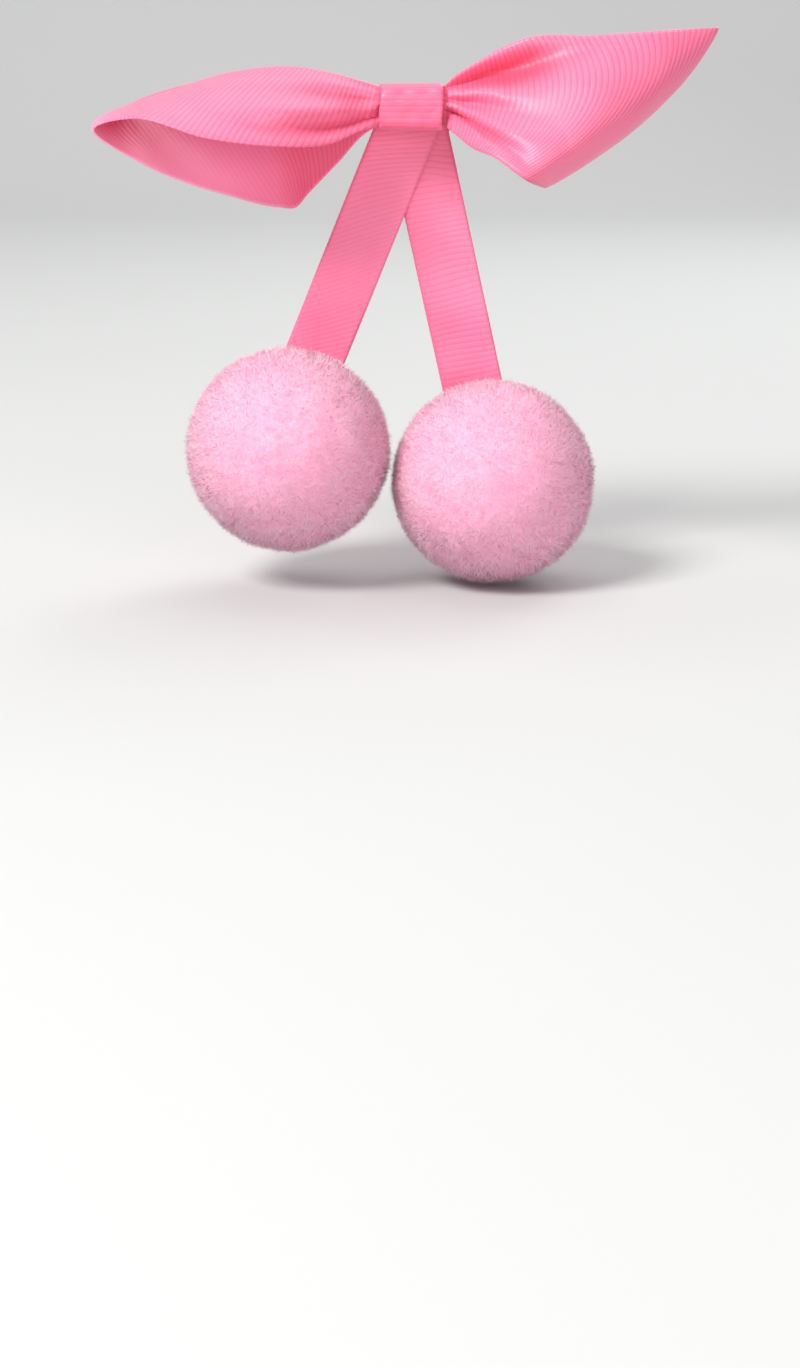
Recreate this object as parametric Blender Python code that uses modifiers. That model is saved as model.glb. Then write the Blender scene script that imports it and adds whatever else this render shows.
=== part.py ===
"""Pom-pom bow shoe clip.

A 25 mm grosgrain ribbon is looped into a bow, gathered with thread and bound by a narrow ribbon. A second
narrow ribbon is folded behind the knot, and a pom pom is glued on each of its two hanging ends. Felt
backs the knot, and a sprung metal clip on the felt grips the edge of a shoe.

+Z is up, the bow faces -Y and the shoe lies on the +Y side. The origin is the centre of the raised grip
land on the clip's base plate. All lengths are in metres.
"""

import math

import bmesh
import bpy
from mathutils import Vector

MM = 0.001

# Clearance between pieces that lie on, in or round each other
GAP = 0.3 * MM

# Ribbons and thread
BOW_RIBBON_WIDTH = 25 * MM
NARROW_RIBBON_WIDTH = 10 * MM
RIBBON_THICK = 0.4 * MM
THREAD_DIAMETER = 0.5 * MM

# Bow
LEFT_REACH = 51.7 * MM
RIGHT_REACH = 49.3 * MM
KNOT_HEIGHT = 7.2 * MM
KNOT_DEPTH = 8.2 * MM
KNOT_OVERLAP = math.radians(36)
GATHER_TURNS = 3
PLEAT_WAVES = 1.5
PLEAT_AMPLITUDE = 0.6 * MM
RIBBON_END_INSET = 1.2 * MM

# Tails
LEFT_TAIL_SLANT = math.radians(22.3)
TAIL_TOP_SPREAD = 2.2 * MM
LEFT_TAIL_LENGTH = 50.2 * MM
RIGHT_TAIL_LENGTH = 55.6 * MM
LEFT_POM_SHIFT = 1.5 * MM
FOLD_BELOW_KNOT_TOP = 1.5 * MM
SWING_DROP = 1.3 * MM
SWING_CLEARANCE = 0.8 * MM
FLEX_CLEARANCE = 0.3 * MM
TAIL_PARTING = 1.0 * MM

# Pom poms
POM_DIAMETER = 33.4 * MM
POM_FLAT_DEPTH = 10.5 * MM
POM_SPACE = 0.3 * MM
POM_BORE_RADIUS = 2.0 * MM
POM_GLUE_RADIUS = 4.2 * MM
POM_TIE_TURNS = 3

# Felt and glue
GLUE_THICK = 0.6 * MM
CLIP_GLUE_SIDE_MARGIN = 2.0 * MM
CLIP_GLUE_END_MARGIN = 3.0 * MM
KNOT_GLUE_MARGIN = 1.5 * MM
FELT_WIDTH = 12.4 * MM
FELT_HEIGHT = 21.0 * MM
FELT_THICK = 1.2 * MM
FELT_CORNER = 3.1 * MM

# Clip
PLATE_WIDTH = 10.8 * MM
PLATE_HEIGHT = 19.6 * MM
PLATE_THICK = 0.7 * MM
PLATE_CORNER = 2.0 * MM
LAND_WIDTH = 8.0 * MM
LAND_HEIGHT = 4.0 * MM
LAND_PROUD = 0.3 * MM
LAND_ROOT = 0.2 * MM
SEWING_HOLE = 1.4 * MM
SEWING_EDGE = 1.1 * MM
SEWING_ROW_RISE = 2.7 * MM
EAR_THICK = 0.7 * MM
EAR_INSET = 0.1 * MM
EAR_RADIUS = 1.7 * MM
PIN_RADIUS = 0.55 * MM
PIN_HEAD_RADIUS = 1.05 * MM
PIN_HEAD_THICK = 0.5 * MM
PIN_ABOVE_KNOT = 0.6 * MM
JAW_THICK = 0.6 * MM
JAW_PAD_THICK = 0.8 * MM
JAW_PAD_HEIGHT = 3.6 * MM
JAW_PAD_INSET = 0.5 * MM
SHOE_UPPER_THICK = 2.15 * MM
JAW_LIP = 3.0 * MM
JAW_LIP_TURN = math.radians(50)
JAW_SIDE_GAP = 0.2 * MM
JAW_TIP_NARROWING = 1.8 * MM
JAW_WINDOW_WIDTH = 3.2 * MM
JAW_WINDOW_HEIGHT = 5.4 * MM
SPRING_THICK = 0.3 * MM
SPRING_WIDTH = 4.4 * MM
SPRING_RISE = 2.6 * MM
SPRING_HEEL = 0.7 * MM
SPRING_CREST_DROP = 0.4 * MM
SPRING_END_RISE = 1.2 * MM

# Heights above the grip land
KNOT_Z = 13.0 * MM
PLATE_TOP = 15.2 * MM
FELT_TOP = 15.9 * MM

# Depths, stacked forward from the grip land at Y = 0
PLATE_FACE = -LAND_PROUD
PLATE_BACK = PLATE_FACE - PLATE_THICK
FELT_REAR = PLATE_BACK - GAP - GLUE_THICK - GAP
FELT_FRONT = FELT_REAR - FELT_THICK
RIGHT_TAIL_Y = FELT_FRONT - GAP - RIBBON_THICK / 2
LEFT_TAIL_Y = RIGHT_TAIL_Y - RIBBON_THICK - GAP
FOLD_GLUE_REAR = LEFT_TAIL_Y - RIBBON_THICK / 2 - GAP
KNOT_LAP = RIBBON_THICK + GAP
KNOT_REAR = FOLD_GLUE_REAR - GLUE_THICK - GAP - KNOT_LAP
KNOT_Y = KNOT_REAR - KNOT_DEPTH / 2

# Joint axes, all along X
SWING_Z = KNOT_Z - KNOT_HEIGHT / 2 - SWING_DROP
SWING_Y = (LEFT_TAIL_Y + RIGHT_TAIL_Y) / 2
PIN_Z = KNOT_Z + PIN_ABOVE_KNOT
JAW_INNER_Y = SHOE_UPPER_THICK + JAW_PAD_THICK + GAP
KNUCKLE_RADIUS = PIN_RADIUS + GAP + JAW_THICK
PIN_Y = JAW_INNER_Y + JAW_THICK - KNUCKLE_RADIUS

# Loop stations, in millimetres from the knot's centre, drawn for a 25 mm ribbon and a loop that reaches
# 50 mm. Each holds the ribbon's top edge, middle and lower edge, from the front of the knot round the
# loop's tip to the back of the knot, with the share of the pleats that is left there.
DRAWN_WIDTH = 25
DRAWN_REACH = 50
LEFT_LOOP = (
    ((7.4, -2.0, 3.9), (7.4, -2.8, 0.0), (7.4, -3.6, -3.5), 1.0),
    ((12.0, -2.0, 5.2), (12.0, -6.5, 0.4), (12.5, -9.5, -5.3), 0.8),
    ((18.0, -1.0, 6.2), (19.8, -10.5, 1.2), (21.0, -16.5, -5.2), 0.3),
    ((27.5, 0.5, 5.4), (30.0, -9.5, 2.0), (31.0, -18.0, -3.8), 0.0),
    ((38.5, 4.5, 1.9), (40.5, -6.0, 1.0), (41.5, -16.0, -1.0), 0.0),
    ((46.5, 9.5, -0.9), (49.0, -1.0, -2.6), (48.4, -11.5, -2.9), 0.0),
    ((42.0, 11.5, 1.0), (42.5, 3.0, -4.6), (41.0, -6.5, -8.9), 0.0),
    ((30.0, 10.5, 4.0), (30.0, 6.0, -5.0), (29.0, -1.5, -13.9), 0.0),
    ((22.5, 9.3, 4.4), (22.0, 7.1, -5.6), (20.6, 0.4, -16.1), 0.1),
    ((19.0, 8.5, 4.5), (18.5, 6.8, -5.4), (18.4, 0.8, -16.2), 0.3),
    ((16.0, 7.4, 4.3), (15.4, 6.2, -4.6), (16.2, 1.3, -13.9), 0.5),
    ((11.6, 5.2, 3.9), (11.2, 4.6, -2.6), (11.4, 2.3, -8.9), 0.8),
    ((7.2, 2.6, 3.3), (7.2, 2.4, -0.6), (7.2, 1.6, -4.3), 1.0),
)
RIGHT_LOOP = (
    ((7.2, -2.0, 4.6), (7.4, -2.9, 0.3), (7.0, -4.2, -4.0), 1.0),
    ((12.0, -2.6, 7.9), (12.4, -7.0, 1.2), (9.8, -10.0, -5.9), 0.8),
    ((18.5, -3.4, 9.9), (20.5, -11.6, 0.8), (13.6, -16.3, -7.2), 0.3),
    ((30.0, -4.0, 11.0), (31.0, -13.0, 1.0), (17.6, -18.4, -10.0), 0.0),
    ((42.0, -2.5, 12.0), (37.5, -8.5, 0.4), (20.7, -13.0, -11.7), 0.0),
    ((50.0, 1.0, 12.2), (39.8, 0.5, -0.6), (22.0, -2.0, -12.1), 0.0),
    ((42.0, 4.8, 11.2), (37.0, 8.0, 0.4), (20.4, 6.5, -10.4), 0.0),
    ((30.0, 6.8, 9.6), (28.5, 10.2, 0.4), (17.0, 10.8, -8.2), 0.0),
    ((17.0, 6.0, 7.2), (16.0, 8.2, 0.4), (11.4, 8.6, -5.6), 0.5),
    ((7.4, 2.8, 3.8), (7.4, 3.0, 0.0), (7.2, 3.2, -3.6), 1.0),
)

# Share of the knot's inner depth that the pleated layers reach into, which leaves its round corners clear
LAYER_SHARE = 0.85

ACROSS = 10
ALONG = 4
ROUND_STEPS = 32


# ------------------------------------------------------------------ scene and materials

def clear_scene():
    for item in list(bpy.data.objects):
        bpy.data.objects.remove(item, do_unlink=True)


def new_collection(name):
    group = bpy.data.collections.new(name)
    bpy.context.scene.collection.children.link(group)
    return group


def new_material(name, colour, roughness, metallic=0.0):
    material = bpy.data.materials.new(name)
    material.use_nodes = True
    shader = material.node_tree.nodes["Principled BSDF"]
    shader.inputs["Base Color"].default_value = (*colour, 1.0)
    shader.inputs["Roughness"].default_value = roughness
    shader.inputs["Metallic"].default_value = metallic
    return material


def put_in(item, group):
    for owner in list(item.users_collection):
        owner.objects.unlink(item)
    group.objects.link(item)


def finish_piece(item, material, parent=None):
    """Put a piece in the part's collection, with its material and parent, at its place in the world."""
    put_in(item, PARTS)
    item.data.materials.clear()
    item.data.materials.append(material)
    if parent:
        item.parent = parent
        item.matrix_parent_inverse = parent.matrix_basis.inverted()
    return item


def shade(item, angle=35):
    item.data.shade_smooth()
    item.data.set_sharp_from_angle(angle=math.radians(angle))


def add_axis(name, location, parent=None):
    """Empty that marks a joint's axis and carries what turns on it."""
    axis = bpy.data.objects.new(name, None)
    axis.empty_display_size = 4 * MM
    PARTS.objects.link(axis)
    axis.location = location
    if parent:
        axis.parent = parent
        axis.matrix_parent_inverse = parent.matrix_basis.inverted()
    return axis


# ------------------------------------------------------------------ shape helpers

def curve_slope(before, point, after):
    """Unit-speed direction of a smooth curve at a point, from its two neighbours."""
    near = (point - before).length
    far = (after - point).length
    if near == 0:
        return (after - point) / far
    if far == 0:
        return (point - before) / near
    return ((point - before) * (far / near) + (after - point) * (near / far)) / (near + far)


def smooth_curve(points, pieces):
    """Points on a smooth curve through the given points, with so many pieces to each span."""
    last = len(points) - 1
    curve = []
    for index in range(last):
        start, end = points[index], points[index + 1]
        chord = (end - start).length
        leave = curve_slope(points[max(index - 1, 0)], start, end) * chord
        arrive = curve_slope(start, end, points[min(index + 2, last)]) * chord
        for piece in range(pieces):
            t = piece / pieces
            curve.append(start * (2 * t ** 3 - 3 * t ** 2 + 1) + end * (3 * t ** 2 - 2 * t ** 3)
                         + leave * (t ** 3 - 2 * t ** 2 + t) + arrive * (t ** 3 - t ** 2))
    return curve + [points[last]]


def shell(name, rows, thickness):
    """Sheet of the given thickness through a grid of points: rows of equal length."""
    mesh = bpy.data.meshes.new(name)
    columns = len(rows[0])
    vertices = [point for row in rows for point in row]
    faces = []
    for i in range(len(rows) - 1):
        for j in range(columns - 1):
            corner = i * columns + j
            faces.append((corner, corner + 1, corner + columns + 1, corner + columns))
    mesh.from_pydata(vertices, [], faces)
    item = bpy.data.objects.new(name, mesh)
    PARTS.objects.link(item)
    solid = item.modifiers.new("Thickness", "SOLIDIFY")
    solid.thickness = thickness
    solid.offset = 0
    solid.use_even_offset = True
    shade(item)
    return item


def turned(name, profile, steps=ROUND_STEPS):
    """Solid turned about its local Z axis from (radius, height) points, listed from the top down."""
    mesh = bpy.data.meshes.new(name)
    vertices = [(radius, 0, height) for radius, height in profile]
    mesh.from_pydata(vertices, [(i, i + 1) for i in range(len(profile) - 1)], [])
    item = bpy.data.objects.new(name, mesh)
    PARTS.objects.link(item)
    screw = item.modifiers.new("Turn", "SCREW")
    screw.steps = steps
    screw.render_steps = steps
    screw.use_merge_vertices = True
    screw.merge_threshold = 0.001 * MM
    return item


def tube(name, points, radius):
    """Round thread or wire through the given points."""
    curve = bpy.data.curves.new(name, "CURVE")
    curve.dimensions = "3D"
    curve.bevel_depth = radius
    curve.bevel_resolution = 2
    curve.use_fill_caps = True
    spline = curve.splines.new("POLY")
    spline.points.add(len(points) - 1)
    for target, point in zip(spline.points, points):
        target.co = (*point, 1)
    item = bpy.data.objects.new(name, curve)
    PARTS.objects.link(item)
    return item


def rounded_outline(width, height, radius, steps=6):
    """Outline of a rectangle with round corners, centred on the origin of its plane."""
    outline = []
    for quarter in range(4):
        angle = quarter * math.pi / 2
        across = math.copysign(width / 2 - radius, math.cos(angle + math.pi / 4))
        up = math.copysign(height / 2 - radius, math.sin(angle + math.pi / 4))
        for step in range(steps + 1):
            turn = angle + step / steps * math.pi / 2
            outline.append((across + radius * math.cos(turn), up + radius * math.sin(turn)))
    return outline


def sheet_from_outline(name, outline, thickness, centre, facing):
    """Flat sheet cut to an outline, as a mesh. The outline's plane faces Y or X, upright."""
    curve = bpy.data.curves.new(name, "CURVE")
    curve.dimensions = "2D"
    curve.fill_mode = "BOTH"
    curve.extrude = thickness / 2
    spline = curve.splines.new("POLY")
    spline.points.add(len(outline) - 1)
    for target, point in zip(spline.points, outline):
        target.co = (point[0], point[1], 0, 1)
    spline.use_cyclic_u = True
    item = bpy.data.objects.new(name, curve)
    PARTS.objects.link(item)
    item.location = centre
    item.rotation_euler = (math.pi / 2, 0, math.pi / 2 if facing == "X" else 0)
    return as_mesh(item)


def as_mesh(item):
    """Replace a curve object by a closed mesh object at the same place."""
    bpy.context.view_layer.update()
    evaluated = item.evaluated_get(bpy.context.evaluated_depsgraph_get())
    mesh = bpy.data.meshes.new_from_object(evaluated)
    weld = bmesh.new()
    weld.from_mesh(mesh)
    bmesh.ops.remove_doubles(weld, verts=weld.verts, dist=0.001 * MM)
    bmesh.ops.recalc_face_normals(weld, faces=weld.faces)
    weld.to_mesh(mesh)
    weld.free()
    name = item.name
    solid = bpy.data.objects.new(name + "_mesh", mesh)
    PARTS.objects.link(solid)
    solid.matrix_world = item.matrix_world.copy()
    bpy.data.objects.remove(item, do_unlink=True)
    solid.name = name
    return solid


def cylinder(name, radius, length, centre, axis, sides=24):
    turn = {"X": (0, math.pi / 2, 0), "Y": (math.pi / 2, 0, 0)}[axis]
    bpy.ops.mesh.primitive_cylinder_add(vertices=sides, radius=radius, depth=length, location=centre,
                                        rotation=turn)
    item = bpy.context.object
    item.name = name
    return item


def box(name, size, centre):
    bpy.ops.mesh.primitive_cube_add(size=1, location=centre)
    item = bpy.context.object
    item.name = name
    item.data.transform([[size[0], 0, 0, 0], [0, size[1], 0, 0], [0, 0, size[2], 0], [0, 0, 0, 1]])
    return item


def soften(item, width, segments=2):
    bevel = item.modifiers.new("Round", "BEVEL")
    bevel.width = width
    bevel.segments = segments
    bevel.limit_method = "ANGLE"
    bevel.angle_limit = math.radians(40)


def combine(item, tool, operation):
    """Cut the tool out of the piece, or join it on."""
    put_in(tool, TOOLS)
    tool.hide_render = True
    tool.display_type = "WIRE"
    step = item.modifiers.new(operation.title(), "BOOLEAN")
    step.operation = operation
    step.object = tool


# ------------------------------------------------------------------ bow

def knot_inner(wound):
    """Half depth and half height inside the knot: of the band where wound is 0, of the thread where it is 1."""
    used = RIBBON_THICK + GAP + wound * (THREAD_DIAMETER + GAP)
    return KNOT_DEPTH / 2 - used, KNOT_HEIGHT / 2 - used


def waist():
    """Half the length of the knot that the gather thread takes up."""
    return GATHER_TURNS * (THREAD_DIAMETER + GAP) / 2 + GAP


def gathered_station(x, layer):
    """Ribbon station inside the knot. Layer -1 is the front one, 0 the middle one and 1 the rear one."""
    wound = min(1.0, (NARROW_RIBBON_WIDTH / 2 - abs(x)) / (NARROW_RIBBON_WIDTH / 2 - waist()))
    half_depth, half_height = knot_inner(wound)
    reach = LAYER_SHARE * half_depth
    pleated = PLEAT_AMPLITUDE + RIBBON_THICK / 2
    outermost = reach if layer else pleated
    height = half_height * (1 - (outermost / half_depth) ** 4) ** 0.25
    centre = Vector((x, KNOT_Y + layer * (reach - pleated), KNOT_Z))
    rise = Vector((0, 0, height))
    return centre + rise, centre, centre - rise, 1.0


def gathered_run(start, end, layer):
    """Ribbon stations through the knot from one x to another, with one at each end of the thread."""
    crossed = [x for x in (-waist(), waist()) if min(start, end) < x < max(start, end)]
    return [gathered_station(x, layer) for x in sorted([start, *crossed, end], reverse=start > end)]


def loop_stations(drawing, side, reach):
    """Loop stations in the part's frame. Side is -1 for the left loop and 1 for the right one."""
    long = reach / DRAWN_REACH * side
    wide = BOW_RIBBON_WIDTH / DRAWN_WIDTH
    return [tuple(Vector((x * long, KNOT_Y + y * wide, KNOT_Z + z * wide)) for x, y, z in station[:3])
            + (station[3],) for station in drawing]


def pleat(v):
    """Pleats of a gathered ribbon: how far it stands off its smooth surface, at v across its width."""
    return PLEAT_AMPLITUDE * math.cos(2 * math.pi * PLEAT_WAVES * v)


def across_station(station, v):
    """Point of a station at v across the ribbon, 0 at its top edge and 1 at its lower edge."""
    top, middle, low, gather = station
    point = top * ((1 - v) * (1 - 2 * v)) + middle * (4 * v * (1 - v)) + low * (v * (2 * v - 1))
    return point + Vector((0, pleat(v) * gather, 0))


def make_bow_ribbon(material):
    """One strip: from its end in the knot round the left loop, through the knot and round the right."""
    edge = NARROW_RIBBON_WIDTH / 2
    end = edge - RIBBON_END_INSET
    stations = gathered_run(end, -edge, 0)
    stations += reversed(loop_stations(LEFT_LOOP, -1, LEFT_REACH))
    stations += gathered_run(-edge, edge, -1)
    stations += loop_stations(RIGHT_LOOP, 1, RIGHT_REACH)
    stations += gathered_run(edge, -end, 1)
    rows = [smooth_curve([across_station(station, j / ACROSS) for station in stations], ALONG)
            for j in range(ACROSS + 1)]
    finish_piece(shell("bow_ribbon", rows, RIBBON_THICK), material)


def oval(half_depth, half_height, angle):
    """Point on the knot's rounded cross-section, angle 0 at its back, as depth and height."""
    depth = math.copysign(math.sqrt(abs(math.cos(angle))), math.cos(angle))
    height = math.copysign(math.sqrt(abs(math.sin(angle))), math.sin(angle))
    return half_depth * depth, half_height * height


def make_knot_band(material):
    """Narrow ribbon wrapped once round the gathered bow, with its end lapped over its start."""
    steps = 60
    start = -KNOT_OVERLAP
    turn = 2 * math.pi + 2 * KNOT_OVERLAP
    path = []
    for step in range(steps + 1):
        gone = step / steps * turn
        lap = max(0.0, min(1.0, (gone - (turn - 4 * KNOT_OVERLAP)) / (2 * KNOT_OVERLAP)))
        lift = KNOT_LAP * lap - RIBBON_THICK / 2
        depth, height = oval(KNOT_DEPTH / 2 + lift, KNOT_HEIGHT / 2 + lift * (1 - 0.9 * lap), start + gone)
        path.append((KNOT_Y + depth, KNOT_Z + height))
    half = NARROW_RIBBON_WIDTH / 2
    rows = [[Vector((x, y, z)) for x in (-half, 0, half)] for y, z in path]
    finish_piece(shell("knot_band", rows, RIBBON_THICK), material)


def make_gather_thread(material):
    """Thread wound round the pleats under the knot band."""
    half_depth, half_height = knot_inner(0)
    radius = THREAD_DIAMETER / 2
    pitch = THREAD_DIAMETER + GAP
    steps = 24
    points = []
    for step in range(GATHER_TURNS * steps + 1):
        turns = step / steps
        depth, height = oval(half_depth - radius, half_height - radius, turns * 2 * math.pi + 0.4)
        points.append((pitch * (turns - GATHER_TURNS / 2), KNOT_Y + depth, KNOT_Z + height))
    finish_piece(tube("gather_thread", points, radius), material)


# ------------------------------------------------------------------ tails

def right_tail_slant():
    """Tangent of the right tail's slant, which sets the pom poms just clear of each other."""
    left_pom_x = LEFT_POM_SHIFT - TAIL_TOP_SPREAD / 2 - math.tan(LEFT_TAIL_SLANT) * LEFT_TAIL_LENGTH
    right_pom_x = left_pom_x + POM_DIAMETER + POM_SPACE
    return (right_pom_x - TAIL_TOP_SPREAD / 2) / RIGHT_TAIL_LENGTH


TAILS = {
    "left": (-1, math.tan(LEFT_TAIL_SLANT), LEFT_TAIL_Y, LEFT_TAIL_LENGTH, LEFT_POM_SHIFT),
    "right": (1, right_tail_slant(), RIGHT_TAIL_Y, RIGHT_TAIL_LENGTH, 0.0),
}


def tail_centre(name, drop):
    """Middle of a tail ribbon, at a drop below the swing axis."""
    side, slant, y = TAILS[name][:3]
    return Vector((side * (TAIL_TOP_SPREAD / 2 + slant * drop), y, SWING_Z - drop))


def tail_half_width(name):
    """Half the level width of a slanting tail ribbon."""
    return NARROW_RIBBON_WIDTH / 2 * math.hypot(1, TAILS[name][1])


def flex_drop():
    """Drop at which the two tails have parted, where each bends on its own."""
    covered = tail_half_width("left") + tail_half_width("right") + TAIL_PARTING - TAIL_TOP_SPREAD
    return covered / (TAILS["left"][1] + TAILS["right"][1])


def level_strip(name, centres, half_width):
    """Ribbon whose cross-sections lie level along X, through the given centres."""
    rows = [[point + Vector((across * half_width, 0, 0)) for across in (-1, 0, 1)] for point in centres]
    return shell(name, rows, RIBBON_THICK)


def make_tail_fold(material):
    """Top of the tail ribbon, folded over behind the knot."""
    radius = (RIGHT_TAIL_Y - LEFT_TAIL_Y) / 2
    low = -SWING_CLEARANCE
    high = -(SWING_DROP + KNOT_HEIGHT - FOLD_BELOW_KNOT_TOP)
    up = [tail_centre("right", low), tail_centre("right", (low + high) / 2)]
    down = [tail_centre("left", (low + high) / 2), tail_centre("left", low)]
    crown = []
    for step in range(9):
        angle = step / 8 * math.pi
        crown.append(Vector((0, SWING_Y + radius * math.cos(angle), SWING_Z - high + radius * math.sin(angle))))
    fold = level_strip("tail_ribbon_fold", up + crown + down, tail_half_width("right"))
    finish_piece(fold, material)


def make_tail(name, swing, ribbon, glue, pile, thread):
    """One hanging tail: its upper and lower ribbon, and its pom pom with the tie and glue that hold it."""
    y, length, shift = TAILS[name][2:]
    half = tail_half_width(name)
    drop = flex_drop()
    upper = [tail_centre(name, SWING_CLEARANCE), tail_centre(name, drop - FLEX_CLEARANCE)]
    finish_piece(level_strip(name + "_tail_ribbon_top", upper, half), ribbon, swing)

    flex = add_axis(name + "_tail_flex", (0, y, SWING_Z - drop), swing)
    lower = [tail_centre(name, drop + FLEX_CLEARANCE), tail_centre(name, length + POM_GLUE_RADIUS)]
    finish_piece(level_strip(name + "_tail_ribbon_end", lower, half), ribbon, flex)

    place = tail_centre(name, length) + Vector((shift, 0, 0))
    glue_y = y - RIBBON_THICK / 2 - GAP - GLUE_THICK / 2
    dab = cylinder(name + "_pom_glue", POM_GLUE_RADIUS, GLUE_THICK, (place.x, glue_y, place.z), "Y")
    soften(dab, GLUE_THICK / 3)
    finish_piece(dab, glue, flex)

    flat_y = glue_y - GLUE_THICK / 2 - GAP
    make_pom_pom(name, Vector((place.x, flat_y - POM_FLAT_DEPTH, place.z)), flex, pile, thread)


def make_pom_pom(name, centre, flex, pile, thread):
    """Ball of cut pile with a flat back where it is glued, and the tie in the hole at its heart."""
    radius = POM_DIAMETER / 2
    rim = math.acos(POM_FLAT_DEPTH / radius)
    arc = 16
    profile = [(0, 0), (POM_BORE_RADIUS, 0), (POM_BORE_RADIUS, POM_FLAT_DEPTH)]
    for step in range(arc + 1):
        angle = rim + (math.pi - rim) * step / arc
        profile.append((radius * math.sin(angle), radius * math.cos(angle)))
    profile[-1] = (0, -radius)
    ball = turned(name + "_pom_pom", profile)
    ball.location = centre
    ball.rotation_euler = (-math.pi / 2, 0, 0)
    shade(ball)
    finish_piece(ball, pile, flex)

    thread_radius = THREAD_DIAMETER / 2
    coil_radius = POM_BORE_RADIUS - GAP - thread_radius
    pitch = THREAD_DIAMETER + GAP
    steps = 16
    points = []
    for step in range(POM_TIE_TURNS * steps + 1):
        angle = step / steps * 2 * math.pi
        depth = GAP + thread_radius + pitch * step / steps
        points.append(centre + Vector((coil_radius * math.cos(angle), depth, coil_radius * math.sin(angle))))
    finish_piece(tube(name + "_pom_tie", points, thread_radius), thread, flex)


# ------------------------------------------------------------------ felt and glue

def make_felt(material):
    outline = rounded_outline(FELT_WIDTH, FELT_HEIGHT, FELT_CORNER)
    centre = (0, (FELT_REAR + FELT_FRONT) / 2, FELT_TOP - FELT_HEIGHT / 2)
    finish_piece(sheet_from_outline("felt_backing", outline, FELT_THICK, centre, "Y"), material)


def make_root_glue(material):
    """Glue between the clip and the felt, and between the tail fold and the knot."""
    plate_centre = PLATE_TOP - PLATE_HEIGHT / 2
    outline = rounded_outline(PLATE_WIDTH - 2 * CLIP_GLUE_SIDE_MARGIN, PLATE_HEIGHT - 2 * CLIP_GLUE_END_MARGIN,
                              PLATE_CORNER)
    centre = (0, PLATE_BACK - GAP - GLUE_THICK / 2, plate_centre)
    finish_piece(sheet_from_outline("clip_glue", outline, GLUE_THICK, centre, "Y"), material)

    outline = rounded_outline(NARROW_RIBBON_WIDTH - 2 * KNOT_GLUE_MARGIN, KNOT_HEIGHT - 2 * KNOT_GLUE_MARGIN,
                              KNOT_GLUE_MARGIN)
    centre = (0, FOLD_GLUE_REAR - GLUE_THICK / 2, KNOT_Z)
    finish_piece(sheet_from_outline("knot_glue", outline, GLUE_THICK, centre, "Y"), material)


# ------------------------------------------------------------------ clip

def make_base_plate(material):
    """Stamped plate with a grip land, sewing holes, a spring slot and two ears for the hinge pin."""
    plate_z = PLATE_TOP - PLATE_HEIGHT / 2
    outline = rounded_outline(PLATE_WIDTH, PLATE_HEIGHT, PLATE_CORNER)
    centre = (0, (PLATE_FACE + PLATE_BACK) / 2, plate_z)
    plate = sheet_from_outline("clip_base_plate", outline, PLATE_THICK, centre, "Y")

    land = box("land", (LAND_WIDTH, LAND_PROUD + LAND_ROOT, LAND_HEIGHT), (0, -(LAND_PROUD + LAND_ROOT) / 2, 0))
    combine(plate, land, "UNION")

    for side in (-1, 1):
        x = side * (PLATE_WIDTH / 2 - EAR_INSET - EAR_THICK / 2)
        ear = sheet_from_outline("ear", ear_outline(), EAR_THICK, (x, 0, PIN_Z), "X")
        combine(plate, ear, "UNION")
    combine(plate, cylinder("pin_hole", PIN_RADIUS + GAP, 2 * PLATE_WIDTH, (0, PIN_Y, PIN_Z), "X"),
            "DIFFERENCE")

    rows = (plate_z + SEWING_ROW_RISE, plate_z - PLATE_HEIGHT / 2 + SEWING_EDGE + SEWING_HOLE / 2)
    column = PLATE_WIDTH / 2 - SEWING_EDGE - SEWING_HOLE / 2
    for z in rows:
        for side in (-1, 1):
            hole = cylinder("sewing_hole", SEWING_HOLE / 2, 6 * PLATE_THICK, (side * column, PLATE_FACE, z), "Y")
            combine(plate, hole, "DIFFERENCE")
    slot = box("spring_slot", (SPRING_WIDTH + 2 * GAP, 6 * PLATE_THICK, SPRING_THICK + 2 * GAP),
               (0, PLATE_FACE, spring_foot()))
    combine(plate, slot, "DIFFERENCE")
    shade(plate)
    finish_piece(plate, material)


def ear_outline():
    """Ear seen from the side: a straight root in the plate and a round end about the pin."""
    root = PLATE_BACK + PLATE_THICK / 4
    outline = [(root, -EAR_RADIUS), (PIN_Y, -EAR_RADIUS)]
    for step in range(1, 12):
        angle = -math.pi / 2 + step / 12 * math.pi
        outline.append((PIN_Y + EAR_RADIUS * math.cos(angle), EAR_RADIUS * math.sin(angle)))
    return outline + [(PIN_Y, EAR_RADIUS), (root, EAR_RADIUS)]


def make_hinge_pin(material):
    """Pin with a shaft between two peened heads, outside the ears."""
    head_inner = PLATE_WIDTH / 2 + GAP
    head_outer = head_inner + PIN_HEAD_THICK
    edge = PIN_HEAD_THICK / 3
    half = [(0, head_outer), (PIN_HEAD_RADIUS - edge, head_outer), (PIN_HEAD_RADIUS, head_outer - edge),
            (PIN_HEAD_RADIUS, head_inner), (PIN_RADIUS, head_inner)]
    profile = half + [(radius, -height) for radius, height in reversed(half)]
    pin = turned("clip_hinge_pin", profile, 20)
    pin.location = (0, PIN_Y, PIN_Z)
    pin.rotation_euler = (0, math.pi / 2, 0)
    shade(pin)
    finish_piece(pin, material)


def jaw_half_width():
    return PLATE_WIDTH / 2 - EAR_INSET - EAR_THICK - GAP - JAW_SIDE_GAP


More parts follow.
